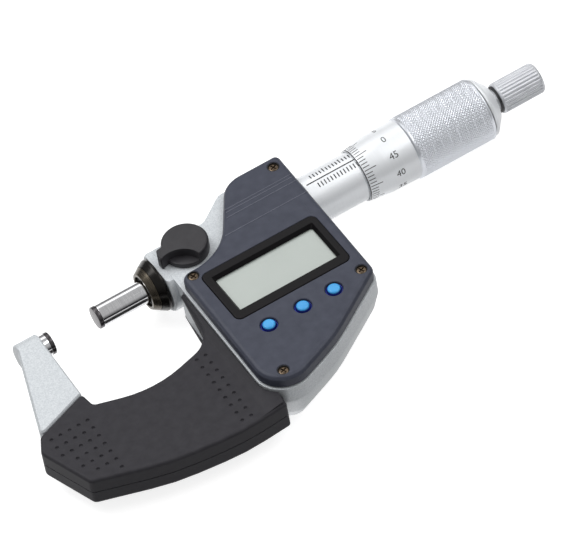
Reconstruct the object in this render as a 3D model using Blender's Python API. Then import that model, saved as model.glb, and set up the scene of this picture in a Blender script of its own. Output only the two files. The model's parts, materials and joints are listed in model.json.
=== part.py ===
"""Digital outside micrometer, 0-25 mm, as an assembly of separate parts.

Frame of reference: the origin is the centre of the anvil's measuring face, +X runs along the
spindle towards the ratchet, +Y points away from the bow, +Z out of the display.
Lengths below are in millimetres and the helpers turn them into metres.
"""

import math

import bmesh
import bpy
from mathutils import Matrix, Vector

MM = 0.001
GAP = 0.2                    # clearance between pieces that sit against each other

# Measuring line
READING = 13.5               # opening between anvil and spindle at rest
SPINDLE_R = 3.175
TIP_LENGTH = 1.1             # carbide discs on anvil and spindle
ANVIL_BACK = -8.5
SCREW_R = 3.7                # outside of the spindle's measuring thread
SCREW_START = 88.5
SCREW_END = 124.6
KEYWAY = (51.0, 85.0)        # groove along the spindle for the rotor's key

# Frame
BOW_HALF = 2.6               # half thickness of the bow inside its covers
ARM_HALF = 4.0
COVER_EDGE = 0.12            # how far each grip cover stops short of mid thickness
COVER_TOP = 4.5
COVER_CHAMFER = 0.5
BACK_Z = -9.6
FRAME_TOP = 6.0              # face that carries the display housing
LEVER_SEAT = 5.9
BARREL_R = 8.5
BARREL_START = 33.3
BARREL_END = 78.9
ENCODER_BORE_R = 7.0
ENCODER_START = 62.6
SLEEVE_SEAT = 71.0           # inner end of the inner sleeve
POCKET_FLOOR = -2.9

# Display housing
HOUSING_BOTTOM = 6.5
HOUSING_TOP = 10.0
HOUSING_WALL = 1.8
EDGE_CHAMFER = 0.6
BOSS_R = 2.05                # screw pillars inside the housing
SCREW_SPOTS = ((38.6, -11.6), (75.4, 8.2), (75.0, -37.2), (40.6, -54.2))
BOARD_SCREWS = ((71.2, -15.3), (41.4, -46.5))
BEZEL = (39.9, -32.1, 74.9, -13.2)
WINDOW = (42.7, -29.0, 72.5, -16.0)
BUTTONS = (("origin_button", 45.7), ("zero_button", 56.1), ("hold_button", 65.7))
BUTTON_Y = -38.6
BUTTON_R = 1.8
BUTTON_HOLE_R = 2.45

# Sleeve, thimble and ratchet
SLEEVE_R = 7.0
SLEEVE_END = 108.6
INNER_SLEEVE_END = 111.1
THIMBLE_START = 81.4 + READING
THIMBLE_BORE_R = 7.2
KNURL_R = 9.0
KNURL_START = 110.5
KNURL_END = 133.6
NECK_R = 3.8
KNOB_START = 139.3
KNOB_END = 152.2
KNOB_R = 4.45

# Lock lever
LEVER_AXIS = (43.0, 0.3)
LEVER_R = 6.2
LEVER_BOTTOM = 6.2
LEVER_LEDGE = 7.4
LEVER_TOP = 9.8
SCOOP = (37.5, -7.5, 6.5)    # centre and radius of the finger scoop

# Battery
BATTERY_SPOT = (56.0, -28.0)
BATTERY_R = 5.8

COARSE, MEDIUM, FINE = 12, 20, 36    # sides of small, middle and large round pieces

# Outlines seen from the front, anticlockwise, each corner as x, y, radius
HOUSING = ((78.6, 11.7, 1.5), (62.0, 11.7, 8.0), (48.8, -9.3, 16.0), (35.7, -9.3, 3.0),
           (34.5, -61.9, 8.2), (58.0, -52.2, 40.0), (77.9, -38.9, 3.0))
BODY = ((78.9, 12.0, 1.5), (59.8, 12.0, 4.0), (51.5, 5.9, 6.0), (35.4, 5.9, 1.0),
        (34.15, -62.4, 8.5), (58.0, -52.6, 40.0), (78.3, -39.1, 3.3))
POCKET = ((74.3, -12.2, 1.5), (41.8, -12.2, 1.0), (38.2, -16.0, 1.0), (38.0, -50.5, 1.0),
          (44.0, -51.5, 0.5), (45.5, -54.3, 0.5), (59.8, -48.2, 6.0), (71.6, -40.2, 1.0),
          (71.6, -35.8, 0.5), (74.3, -33.3, 0.5))
GRIP = ((-3.9, -23.9, 0.6), (-20.1, -30.0, 2.0), (-22.8, -35.0, 2.5), (-17.4, -51.5, 2.0),
        (3.0, -58.8, 60.0), (23.0, -61.4, 60.0), (37.2, -60.3, 0.6), (38.6, -50.0, 0.0),
        (38.6, -10.5, 0.0), (34.2, -10.5, 0.0), (31.8, -29.0, 8.0), (12.4, -34.3, 30.0),
        (-3.3, -28.9, 1.5))
BOW_CORE = ((-5.4, -20.0, 0.0), (-16.2, -24.0, 0.0), (-21.1, -35.0, 2.0), (-16.1, -50.4, 1.0),
            (3.2, -57.2, 58.0), (23.0, -59.8, 58.0), (35.7, -58.8, 0.0), (37.5, -50.0, 0.0),
            (43.0, -48.0, 0.0), (43.0, -10.0, 0.0), (35.9, -10.0, 0.0), (33.2, -30.5, 9.0),
            (12.4, -36.0, 32.0), (-4.9, -30.2, 1.0))
ARM = ((-2.8, 0.0, 0.0), (-9.7, 0.0, 0.0), (-19.7, -29.5, 1.0), (-3.8, -23.5, 0.3))
LEVER_TAB = ((39.5, 2.6, 0.0), (35.2, 1.9, 0.6), (34.5, 0.2, 0.4), (34.6, -1.4, 0.5),
             (37.0, -3.6, 0.0), (41.0, -3.0, 0.0))
# Side view of the bare web between the covers, anticlockwise, each corner as y, z
WEB = ((-13.4, -3.7), (-8.0, -3.7), (-8.0, 3.7), (-13.4, 3.7), (-27.0, 0.25), (-27.0, -0.25))
WEB_START = 28.0
WEB_END = 40.0

MATERIALS = {
    "painted_cast": ((0.78, 0.80, 0.81), 0.35, 0.25),
    "ground_steel": ((0.80, 0.80, 0.80), 0.12, 1.0),
    "carbide": ((0.30, 0.30, 0.31), 0.25, 0.9),
    "satin_chrome": ((0.78, 0.79, 0.80), 0.3, 1.0),
    "grip_plastic": ((0.045, 0.045, 0.05), 0.55, 0.0),
    "black_steel": ((0.03, 0.03, 0.03), 0.3, 0.8),
    "housing_plastic": ((0.07, 0.075, 0.10), 0.5, 0.0),
    "bezel_plastic": ((0.015, 0.014, 0.016), 0.3, 0.0),
    "lens": ((0.85, 0.90, 0.88), 0.05, 0.0),
    "lcd": ((0.50, 0.55, 0.50), 0.25, 0.0),
    "rubber": ((0.02, 0.02, 0.02), 0.8, 0.0),
    "navy_rubber": ((0.01, 0.015, 0.12), 0.5, 0.0),
    "blue_plastic": ((0.08, 0.45, 0.85), 0.35, 0.0),
    "board": ((0.02, 0.25, 0.10), 0.5, 0.0),
    "brass": ((0.75, 0.55, 0.25), 0.3, 1.0),
    "lever_plastic": ((0.06, 0.058, 0.06), 0.5, 0.0),
    "screw_steel": ((0.25, 0.23, 0.21), 0.35, 0.9),
    "glass_epoxy": ((0.65, 0.60, 0.35), 0.5, 0.0),
}


def clear_scene():
    for item in list(bpy.data.objects):
        bpy.data.objects.remove(item, do_unlink=True)


def material(name):
    """One Principled material for each finish, made once."""
    found = bpy.data.materials.get(name)
    if found:
        return found
    colour, roughness, metallic = MATERIALS[name]
    made = bpy.data.materials.new(name)
    made.use_nodes = True
    shader = made.node_tree.nodes["Principled BSDF"]
    shader.inputs["Base Color"].default_value = (*colour, 1.0)
    shader.inputs["Roughness"].default_value = roughness
    shader.inputs["Metallic"].default_value = metallic
    made.diffuse_color = (*colour, 1.0)
    return made


# ---- outlines -------------------------------------------------------------------------------

def inset(corners, distance):
    """The same outline with every side moved inwards, or outwards where distance is negative."""
    count = len(corners)
    sides = []
    for i, corner in enumerate(corners):
        start = Vector(corner[:2])
        along = (Vector(corners[(i + 1) % count][:2]) - start).normalized()
        inward = Vector((-along.y, along.x))
        sides.append((start + inward * distance, along))
    moved = []
    for i, corner in enumerate(corners):
        (p, d), (q, e) = sides[i - 1], sides[i]
        turn = d.x * e.y - d.y * e.x
        reach = ((q.x - p.x) * e.y - (q.y - p.y) * e.x) / turn
        spot = p + d * reach
        radius = corner[2] - math.copysign(distance, turn) if corner[2] else 0.0
        moved.append((spot.x, spot.y, max(radius, 0.05) if corner[2] else 0.0))
    return tuple(moved)


def rounded(corners, step=18.0):
    """Points of an outline whose corners are arcs, one point for each step in degrees."""
    points = []
    count = len(corners)
    for i, (x, y, radius) in enumerate(corners):
        here = Vector((x, y))
        arrive = (here - Vector(corners[i - 1][:2])).normalized()
        leave = (Vector(corners[(i + 1) % count][:2]) - here).normalized()
        turn = math.atan2(arrive.x * leave.y - arrive.y * leave.x, arrive.dot(leave))
        if not radius:
            points.append(here)
            continue
        start = here - arrive * radius * math.tan(abs(turn) / 2)
        side = Vector((-arrive.y, arrive.x)) * math.copysign(radius, turn)
        centre = start + side
        pieces = max(1, math.ceil(math.degrees(abs(turn)) / step - 0.05))
        for k in range(pieces + 1):
            angle = turn * k / pieces
            cos, sin = math.cos(angle), math.sin(angle)
            arm = Vector((-side.x * cos + side.y * sin, -side.x * sin - side.y * cos))
            points.append(centre + arm)
    return points


def rectangle(box, radius=0.0):
    low_x, low_y, high_x, high_y = box
    return ((high_x, high_y, radius), (low_x, high_y, radius),
            (low_x, low_y, radius), (high_x, low_y, radius))


def circle(x, y, radius, sides):
    return [Vector((x + radius * math.cos(math.tau * k / sides),
                    y + radius * math.sin(math.tau * k / sides))) for k in range(sides)]


# ---- solids ---------------------------------------------------------------------------------

def add(name, mesh, finish):
    made = bpy.data.objects.new(name, mesh)
    bpy.context.scene.collection.objects.link(made)
    if finish:
        mesh.materials.append(material(finish))
        mesh.shade_smooth()
        mesh.set_sharp_from_angle(angle=math.radians(35))
    else:
        made.hide_render = True
        made.display_type = "WIRE"
    return made


def mesh_from(bm, name):
    bmesh.ops.recalc_face_normals(bm, faces=bm.faces)
    mesh = bpy.data.meshes.new(name)
    bm.to_mesh(mesh)
    bm.free()
    return mesh


def loft(name, levels, finish=None, origin=(0, 0, 0)):
    """A solid through outlines of equal length, each as (z, points), from the bottom up."""
    bm = bmesh.new()
    loops = []
    for z, points in levels:
        place = [((p.x - origin[0]) * MM, (p.y - origin[1]) * MM, (z - origin[2]) * MM)
                 for p in points]
        loops.append([bm.verts.new(spot) for spot in place])
    bm.faces.new(loops[0][::-1])
    bm.faces.new(loops[-1])
    for low, high in zip(loops, loops[1:]):
        for i in range(len(low)):
            bm.faces.new((low[i - 1], low[i], high[i], high[i - 1]))
    made = add(name, mesh_from(bm, name), finish)
    made.location = Vector(origin) * MM
    return made


def prism(name, points, low, high, finish=None, origin=(0, 0, 0)):
    return loft(name, ((low, points), (high, points)), finish, origin)


def turned(name, profile, sides, finish=None, origin=(0, 0, 0), axis="X"):
    """A profile of (along, radius) points spun about the X axis, or about Z through origin."""
    bm = bmesh.new()
    start = [bm.verts.new((x * MM, 0.0, radius * MM)) for x, radius in profile]
    edges = [bm.edges.new((start[i - 1], start[i])) for i in range(len(start))]
    bmesh.ops.spin(bm, geom=start + edges, cent=(0, 0, 0), axis=(1, 0, 0),
                   angle=math.tau, steps=sides, use_merge=True)
    bmesh.ops.remove_doubles(bm, verts=bm.verts, dist=1e-7)
    bmesh.ops.dissolve_degenerate(bm, edges=bm.edges, dist=1e-7)
    loose = [e for e in bm.edges if not e.link_faces]
    bmesh.ops.delete(bm, geom=loose, context="EDGES")
    if axis == "Z":
        for vert in bm.verts:
            vert.co = (-vert.co.z, vert.co.y, vert.co.x)
    made = add(name, mesh_from(bm, name), finish)
    made.location = Vector(origin) * MM
    return made


def rod(name, start, end, radius, sides, finish=None, **place):
    profile = ((start, 0.0), (start, radius), (end, radius), (end, 0.0))
    return turned(name, profile, sides, finish, **place)


def ring(name, start, end, inner, outer, sides, finish=None, **place):
    profile = ((start, inner), (start, outer), (end, outer), (end, inner))
    return turned(name, profile, sides, finish, **place)


def stud(name, x, y, low, high, radius, sides, finish=None):
    return rod(name, low, high, radius, sides, finish, origin=(x, y, 0), axis="Z")


def block(name, low, high, finish=None):
    outline = rounded(rectangle((low[0], low[1], high[0], high[1])))
    return prism(name, outline, low[2], high[2], finish)


def combine(target, operation, *tools):
    """Adds or cuts each tool, which stays in the scene as a hidden helper."""
    for tool in tools:
        step = target.modifiers.new(tool.name, "BOOLEAN")
        step.operation = operation
        step.object = tool
        step.solver = "EXACT"
    return target


def cut(target, *tools):
    return combine(target, "DIFFERENCE", *tools)


def join(target, *tools):
    return combine(target, "UNION", *tools)


# ---- frame ----------------------------------------------------------------------------------

def frame_body():
    """The thick part under the housing: straight rim, slight draft, then a bevelled back."""
    levels = ((BACK_Z, 4.4), (-5.5, 1.9), (0.8, 0.0), (FRAME_TOP, 0.0))
    return loft("body_core", [(z, rounded(inset(BODY, depth))) for z, depth in levels])


def barrel():
    profile = ((BARREL_START, 0.0), (BARREL_START, 7.7), (BARREL_START + 0.8, BARREL_R),
               (BARREL_END, BARREL_R), (BARREL_END, 0.0))
    core = turned("barrel_core", profile, FINE)
    lever_flat = block("lever_flat", (30.0, -12.0, LEVER_SEAT), (62.5, 12.0, 12.0))
    housing_flat = block("housing_flat", (50.0, -12.0, 7.9), (82.0, 12.0, 12.0))
    return cut(core, lever_flat, housing_flat)


def frame_holes():
    x, y = BATTERY_SPOT
    holes = [
        prism("pocket", rounded(POCKET), POCKET_FLOOR, 8.0),
        rod("anvil_bore", ANVIL_BACK - GAP, 0.0, SPINDLE_R + 0.1, MEDIUM),
        rod("spindle_bore", 20.0, 91.0, SPINDLE_R + 0.15, MEDIUM),
        rod("encoder_bore", ENCODER_START, 91.0, ENCODER_BORE_R, FINE),
        stud("cap_seat", x, y, -20.0, -8.2, 8.3, FINE),
        stud("cap_thread", x, y, -20.0, -4.8, 7.2, FINE),
        stud("battery_bay", x, y, -20.0, -2.0, 6.1, FINE),
        block("plus_slot", (61.0, -29.8, -5.2), (63.2, -26.2, -2.0)),
        stud("clamp_bore", *LEVER_AXIS, 0.0, 20.0, 1.5, COARSE),
    ]
    for i, (x, y) in enumerate(SCREW_SPOTS):
        holes.append(stud(f"housing_thread_{i + 1}", x, y, 1.0, 20.0, 0.95, COARSE))
    return holes


def web_bar(name, margin):
    """The wedge seen between the covers beside the barrel, grown by margin, along X."""
    side = [Vector(corner[:2]) for corner in inset([(y, z, 0.0) for y, z in WEB], -margin)]
    bar = prism(name, side, WEB_START, WEB_END)
    bar.matrix_world = Matrix(((0, 0, 1, 0), (1, 0, 0, 0), (0, 1, 0, 0), (0, 0, 0, 1)))
    return bar


def frame():
    made = prism("frame", rounded(BOW_CORE), -BOW_HALF, BOW_HALF, "painted_cast")
    arm = prism("arm_core", rounded(ARM), -ARM_HALF, ARM_HALF)
    boss = rod("anvil_boss", -9.7, -2.8, ARM_HALF, FINE)
    web = prism("throat_web", rounded(inset(GRIP, 0.15)), -5.0, 5.0)
    combine(web, "INTERSECT", web_bar("web_bar", 0.0))
    join(made, arm, boss, web, frame_body(), barrel())
    cut(made, *frame_holes())
    bosses = [stud(f"board_boss_{i + 1}", x, y, POCKET_FLOOR - 0.5, 3.1, 2.2, COARSE)
              for i, (x, y) in enumerate(BOARD_SCREWS)]
    join(made, *bosses)
    threads = [stud(f"board_thread_{i + 1}", x, y, -1.5, 5.0, 0.8, COARSE)
               for i, (x, y) in enumerate(BOARD_SCREWS)]
    return cut(made, *threads)


def grip_covers():
    """Two moulded shells that meet at mid thickness and leave room for the steel bow."""
    core = rounded(inset(BOW_CORE, -0.15))
    body = rounded(inset(BODY, -GAP))
    wall = rounded(GRIP)
    face = rounded(inset(GRIP, COVER_CHAMFER))
    front = ((COVER_EDGE, wall), (COVER_TOP - 0.6, wall), (COVER_TOP, face))
    rear = tuple((-z, outline) for z, outline in reversed(front))
    for name, levels, low, high in (("front_grip_cover", front, -0.5, 2.8),
                                    ("rear_grip_cover", rear, -2.8, 0.5)):
        cover = loft(name, levels, "grip_plastic")
        bow_room = prism(f"{name}_bow_room", core, low, high)
        body_room = prism(f"{name}_body_room", body, -12.0, 12.0)
        cut(cover, bow_room, body_room, web_bar(f"{name}_web_room", 0.15))


def anvil_pieces():
    rod("anvil", ANVIL_BACK, -TIP_LENGTH - 0.1, SPINDLE_R, MEDIUM, "ground_steel")
    rod("anvil_tip", -TIP_LENGTH, 0.0, SPINDLE_R, MEDIUM, "carbide")


def nose_pieces():
    profile = ((28.5, 4.5), (28.5, 5.2), (32.1, 7.5), (32.9, 7.5), (32.9, 3.4),
               (31.5, 3.4), (31.5, 4.5))
    turned("seal_nut", profile, FINE, "black_steel")
    ring("spindle_seal", 29.4, 31.2, 3.3, 4.35, MEDIUM, "rubber")


def sleeve_pieces():
    profile = ((SLEEVE_SEAT, 4.1), (SLEEVE_SEAT, 6.85), (78.6, 6.85), (78.6, 5.6), (108.7, 5.6),
               (108.7, 5.3), (INNER_SLEEVE_END, 5.0), (INNER_SLEEVE_END, SCREW_R + 0.1),
               (101.0, SCREW_R + 0.1), (100.0, 4.1))
    turned("inner_sleeve", profile, FINE, "ground_steel")
    ring("graduated_sleeve", 79.1, SLEEVE_END, 5.75, SLEEVE_R, FINE, "satin_chrome")
    ring("adjusting_nut", 108.9, 110.9, 5.45, 6.6, MEDIUM, "brass")


# ---- display housing ------------------------------------------------------------------------

def front_housing():
    levels = ((HOUSING_BOTTOM, 0.0), (HOUSING_TOP - EDGE_CHAMFER, 0.0), (HOUSING_TOP, EDGE_CHAMFER))
    made = loft("front_housing", [(z, rounded(inset(HOUSING, d))) for z, d in levels],
                "housing_plastic")
    hollow = prism("housing_hollow", rounded(inset(HOUSING, HOUSING_WALL)), 0.0,
                   HOUSING_TOP - HOUSING_WALL)
    bosses = [stud(f"housing_boss_{i + 1}", x, y, HOUSING_BOTTOM + 0.1, 9.0, BOSS_R, COARSE)
              for i, (x, y) in enumerate(SCREW_SPOTS)]
    barrel_room = block("barrel_room", (75.0, -6.6, 0.0), (81.0, 6.6, 8.2))
    opening = prism("bezel_opening", rounded(rectangle(BEZEL, 2.0)), 5.0, 12.0)
    holes = [stud(f"{name}_hole", x, BUTTON_Y, 5.0, 12.0, BUTTON_HOLE_R, COARSE)
             for name, x in BUTTONS]
    room = ((5.0, 0.0), (5.0, 1.0), (8.0, 1.0), (8.0, 1.65), (12.0, 1.65), (12.0, 0.0))
    screws = [turned(f"screw_room_{i + 1}", room, COARSE, origin=(x, y, 0), axis="Z")
              for i, (x, y) in enumerate(SCREW_SPOTS)]
    cut(made, hollow)
    join(made, *bosses)
    cut(made, barrel_room, opening, *holes, *screws)


def housing_gasket():
    made = prism("housing_gasket", rounded(inset(HOUSING, 0.3)), 6.1, 6.4, "rubber")
    inside = prism("gasket_inside", rounded(inset(HOUSING, 1.1)), 5.0, 8.0)
    barrel_room = block("gasket_gap", (75.0, -6.6, 0.0), (81.0, 6.6, 8.2))
    cut(made, inside, barrel_room)


def housing_screws():
    for i, (x, y) in enumerate(SCREW_SPOTS):
        profile = ((1.4, 0.0), (1.4, 0.75), (8.1, 0.75), (8.1, 1.45), (9.1, 1.45), (9.1, 0.0))
        screw = turned(f"housing_screw_{i + 1}", profile, COARSE, "screw_steel",
                       origin=(x, y, 0), axis="Z")
        slots = [block(f"driver_slot_{i + 1}_{k}", (x - a, y - b, 8.6), (x + a, y + b, 9.5))
                 for k, (a, b) in enumerate(((0.9, 0.2), (0.2, 0.9)))]
        cut(screw, *slots)


def display_stack():
    outline = rounded(inset(rectangle(BEZEL, 2.0), 0.12))
    levels = ((8.9, outline), (HOUSING_TOP + 0.1, outline))
    bezel = loft("display_bezel", levels, "bezel_plastic")
    wide = rounded(inset(rectangle(WINDOW, 0.6), -0.5))
    narrow = rounded(rectangle(WINDOW, 0.6))
    cut(bezel, loft("window_opening", ((8.0, narrow), (8.9, narrow), (11.0, wide))))
    prism("display_lens", rounded(inset(rectangle(BEZEL, 2.0), 0.5)), 8.45, 8.75, "lens")
    prism("lcd_panel", rounded(inset(rectangle(BEZEL, 2.0), 1.2)), 7.3, 8.3, "lcd")
    block("zebra_strip", (43.5, -17.0, 4.7), (68.0, -15.4, 7.1), "rubber")


def electronics():
    board = prism("circuit_board", rounded(inset(POCKET, 0.5)), 3.4, 4.6, "board")
    holes = [stud(f"board_hole_{i + 1}", x, y, 2.0, 6.0, 0.85, COARSE)
             for i, (x, y) in enumerate(BOARD_SCREWS)]
    cut(board, *holes)
    for i, (x, y) in enumerate(BOARD_SCREWS):
        profile = ((-1.0, 0.0), (-1.0, 0.6), (4.75, 0.6), (4.75, 1.3), (5.6, 1.3), (5.6, 0.0))
        turned(f"board_screw_{i + 1}", profile, COARSE, "screw_steel", origin=(x, y, 0), axis="Z")
    for i, (_, x) in enumerate(BUTTONS):
        stud(f"button_switch_{i + 1}", x, BUTTON_Y, 4.7, 5.6, 1.6, COARSE, "ground_steel")


def button_membrane():
    """A rubber sheet under the housing with a raised ring in each button hole."""
    left, right = BUTTONS[0][1] - 3.4, BUTTONS[-1][1] + 3.4
    sheet = rounded(rectangle((left, BUTTON_Y - 3.3, right, BUTTON_Y + 3.3), 1.5))
    made = prism("button_membrane", sheet, 7.0, 7.7, "navy_rubber")
    for name, x in BUTTONS:
        join(made, stud(f"{name}_ring", x, BUTTON_Y, 7.2, 9.75, BUTTON_HOLE_R - 0.1, COARSE))
    for name, x in BUTTONS:
        cut(made, stud(f"{name}_bore", x, BUTTON_Y, 5.0, 12.0, BUTTON_R + 0.12, COARSE))


def push_buttons():
    for name, x in BUTTONS:
        profile = ((6.3, 0.0), (6.3, 1.0), (7.9, 1.0), (7.9, BUTTON_R), (10.0, BUTTON_R),
                   (10.4, BUTTON_R - 0.4), (10.4, 0.0))
        turned(name, profile, COARSE, "blue_plastic", origin=(x, BUTTON_Y, 0), axis="Z")


def battery_pieces():
    x, y = BATTERY_SPOT
    stud("battery", x, y, -8.2, -2.8, BATTERY_R, MEDIUM, "screw_steel")
    profile = ((-9.5, 0.0), (-9.5, 8.0), (-8.9, 8.0), (-8.9, 6.95), (-5.2, 6.95), (-5.2, 6.25),
               (-8.4, 6.25), (-8.4, 0.0))
    cap = turned("battery_cap", profile, FINE, "satin_chrome", origin=(x, y, 0), axis="Z")
    cut(cap, block("coin_slot", (x - 6.0, y - 0.7, -12.0), (x + 6.0, y + 0.7, -9.0)))
    ring("cap_oring", -8.8, -8.3, 7.25, 7.95, MEDIUM, "rubber", origin=(x, y, 0), axis="Z")
    leaf = ((59.2, 3.2), (53.0, 3.2), (53.0, 2.9), (58.9, 2.9), (58.9, -2.3), (54.0, -2.3),
            (54.0, -2.6), (59.2, -2.6))
    clip = ((67.0, 3.2), (62.2, 3.2), (62.2, -4.9), (62.6, -4.9), (62.6, 2.9), (67.0, 2.9))
    for name, outline in (("battery_contact_minus", leaf), ("battery_contact_plus", clip)):
        side_profile = [Vector(point) for point in outline]
        made = prism(name, side_profile, -1.0, 1.0, "brass")
        made.rotation_euler = (math.pi / 2, 0.0, 0.0)
        made.location = Vector((0.0, y, 0.0)) * MM


# ---- encoder, spindle and thimble -----------------------------------------------------------

def encoder_pieces():
    """Fixed stator ring, and the rotor on a hub whose key runs in the spindle's groove."""
    start = ENCODER_START
    bore = SPINDLE_R + 0.1
    ring("encoder_stator", start + 0.3, start + 1.6, 4.8, 6.8, FINE, "glass_epoxy")
    profile = ((start + 0.4, bore), (start + 0.4, 4.4), (start + 3.9, 4.4), (start + 3.9, 5.2),
               (start + 8.0, 5.2), (start + 8.0, bore))
    hub = turned("rotor_hub", profile, MEDIUM, "brass")
    cut(hub, block("key_slot", (start + 4.2, -0.7, 2.0), (start + 7.6, 0.7, 8.0)))
    ring("rotor_disc", start + 2.3, start + 3.6, 4.55, 6.6, FINE, "glass_epoxy")
    block("rotor_key", (start + 4.4, -0.5, 2.5), (start + 7.4, 0.5, 5.0), "ground_steel")


def spindle_pieces():
    face = READING
    profile = ((face + TIP_LENGTH + 0.1, 0.0), (face + TIP_LENGTH + 0.1, SPINDLE_R),
               (SCREW_START, SPINDLE_R), (SCREW_START + 0.5, SCREW_R), (SCREW_END, SCREW_R),
               (SCREW_END, 2.3), (126.8, 2.3), (126.8, 0.0))
    spindle = turned("spindle", profile, MEDIUM, "ground_steel")
    keyway = block("keyway", (KEYWAY[0], -0.65, 2.3), (KEYWAY[1], 0.65, 5.0))
    screw_hole = rod("ratchet_screw_hole", 118.0, 131.0, 1.1, COARSE)
    cut(spindle, keyway, screw_hole)
    rod("spindle_tip", face, face + TIP_LENGTH, SPINDLE_R, MEDIUM, "carbide")


def thimble_pieces():
    """Thimble with a bevelled scale end, a knurled grip and a web that seats on the spindle."""
    start = THIMBLE_START
    profile = ((start, THIMBLE_BORE_R), (start, 7.5), (start + 6.65, 8.45), (KNURL_START - 0.4, 8.6),
               (KNURL_START, KNURL_R), (KNURL_END - 0.4, KNURL_R), (KNURL_END, KNURL_R - 0.4),
               (KNURL_END, 7.0), (127.0, 7.0), (127.0, 2.45), (124.9, 2.45),
               (124.9, THIMBLE_BORE_R))
    turned("thimble", profile, FINE, "satin_chrome")
    cap = ((130.0, 3.4), (130.0, 6.8), (133.8, 6.8), (133.8, 8.5), (134.4, 8.6), (137.6, 5.2),
           (137.6, 3.4))
    turned("thimble_cap", cap, FINE, "satin_chrome")
    screw = ((119.0, 0.0), (119.0, 0.95), (127.2, 0.95), (127.2, 1.9), (128.3, 1.9),
             (128.3, 1.2), (148.0, 1.2), (148.0, 2.4), (149.6, 2.4), (149.6, 0.0))
    turned("ratchet_screw", screw, COARSE, "ground_steel")


def ratchet_pieces():
    profile = ((135.2, 1.4), (135.2, 3.1), (138.9, 3.1), (138.9, NECK_R), (KNOB_START, NECK_R),
               (KNOB_START, KNOB_R - 0.3), (KNOB_START + 0.3, KNOB_R), (KNOB_END - 0.6, KNOB_R),
               (KNOB_END, KNOB_R - 0.6), (KNOB_END, 2.7), (147.7, 2.7), (147.7, 1.4))
    turned("ratchet_knob", profile, FINE, "satin_chrome")
    teeth = []
    for k in range(24):
        radius = 5.9 if k % 2 else 5.2
        teeth.append(Vector((radius * math.cos(math.tau * k / 24),
                             radius * math.sin(math.tau * k / 24))))
    clutch = prism("ratchet_clutch", teeth, 128.0, 129.7, "ground_steel")
    clutch.rotation_euler = (0.0, math.pi / 2, 0.0)
    cut(clutch, rod("clutch_bore", 121.0, 136.0, 2.1, COARSE))
    ring("ratchet_spring", 130.0, 135.0, 1.5, 2.6, COARSE, "ground_steel")


# ---- lock lever -----------------------------------------------------------------------------

def lock_lever_pieces():
    x, y = LEVER_AXIS
    origin = (x, y, 0)
    made = prism("lock_lever", circle(x, y, LEVER_R, FINE), LEVER_LEDGE - 0.4, LEVER_TOP,
                 "lever_plastic", origin)
    tab = prism("lever_tab", rounded(LEVER_TAB), LEVER_BOTTOM, LEVER_TOP)
    join(made, tab)
    scoop_x, scoop_y, scoop_r = SCOOP
    cut(made, stud("finger_scoop", scoop_x, scoop_y, 0.0, 20.0, scoop_r, FINE))
    join(made, stud("lever_base", x, y, LEVER_BOTTOM, LEVER_LEDGE, LEVER_R - 0.15, FINE))
    stud("clamp_screw", x, y, 4.6, LEVER_BOTTOM - 0.1, 1.25, COARSE, "ground_steel")
    stud("clamp_pad", x, y, SPINDLE_R + 0.15, 4.4, 1.25, COARSE, "brass")


def build():
    clear_scene()
    frame()
    grip_covers()
    anvil_pieces()
    nose_pieces()
    sleeve_pieces()
    front_housing()
    housing_gasket()
    housing_screws()
    display_stack()
    electronics()
    button_membrane()
    push_buttons()
    battery_pieces()
    encoder_pieces()
    spindle_pieces()
    thimble_pieces()
    ratchet_pieces()
    lock_lever_pieces()


build()
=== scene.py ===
"""Looks of the digital outside micrometer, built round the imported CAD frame.

Lengths are in millimetres and MM turns them into metres. The origin is the centre of the anvil's
face, +X runs along the spindle, +Z out of the display.
"""

import json
import math

import bmesh
import bpy
from mathutils import Matrix, Vector


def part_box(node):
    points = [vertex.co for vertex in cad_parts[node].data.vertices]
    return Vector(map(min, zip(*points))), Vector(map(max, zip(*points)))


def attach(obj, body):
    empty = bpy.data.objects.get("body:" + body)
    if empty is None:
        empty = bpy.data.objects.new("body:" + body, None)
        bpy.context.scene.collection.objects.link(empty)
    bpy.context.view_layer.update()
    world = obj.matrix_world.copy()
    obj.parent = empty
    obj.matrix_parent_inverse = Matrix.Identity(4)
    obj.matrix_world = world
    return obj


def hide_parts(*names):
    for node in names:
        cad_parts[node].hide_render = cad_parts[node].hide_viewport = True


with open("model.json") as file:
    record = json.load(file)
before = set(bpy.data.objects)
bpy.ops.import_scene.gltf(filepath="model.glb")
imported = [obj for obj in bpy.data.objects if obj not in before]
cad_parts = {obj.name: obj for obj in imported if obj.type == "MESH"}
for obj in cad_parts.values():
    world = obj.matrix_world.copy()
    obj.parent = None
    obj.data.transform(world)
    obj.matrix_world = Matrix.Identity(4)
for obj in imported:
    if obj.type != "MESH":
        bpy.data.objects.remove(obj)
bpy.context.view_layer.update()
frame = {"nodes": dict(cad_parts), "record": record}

MM = 0.001
FINE = 96                 # sides of the round pieces
STEP = 6.0                # degrees between points of a rounded corner in an outline
EDGE_STEP = 18.0          # the same in the edge of a slab
LATHE_STEP = 15.0         # the same in the profile of a turned piece
SHARP_ANGLE = math.radians(32.0)    # edges sharper than this are shaded as edges


def corner_of(node, high):
    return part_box(node)[1 if high else 0] / MM


READING = corner_of("spindle_tip", False).x
THIMBLE_START = corner_of("thimble", False).x
SLEEVE_R = 7.0
SLEEVE_MARKS = 25         # whole millimetres on the sleeve
MARK_LIFT = 0.02          # how far a mark stands out of its surface, and reaches into it
FACE_GAP = 0.01           # keeps the two measuring faces from coinciding when closed
INDEX_ANGLE = 94.7        # where the index line lies round the sleeve, from +Y towards +Z
FRAME_TOP = 6.0
HOUSING_LOW = 6.5
HOUSING_TOP = 10.0
COVER_TOP = 4.5
BACK_Z = -9.6

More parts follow.
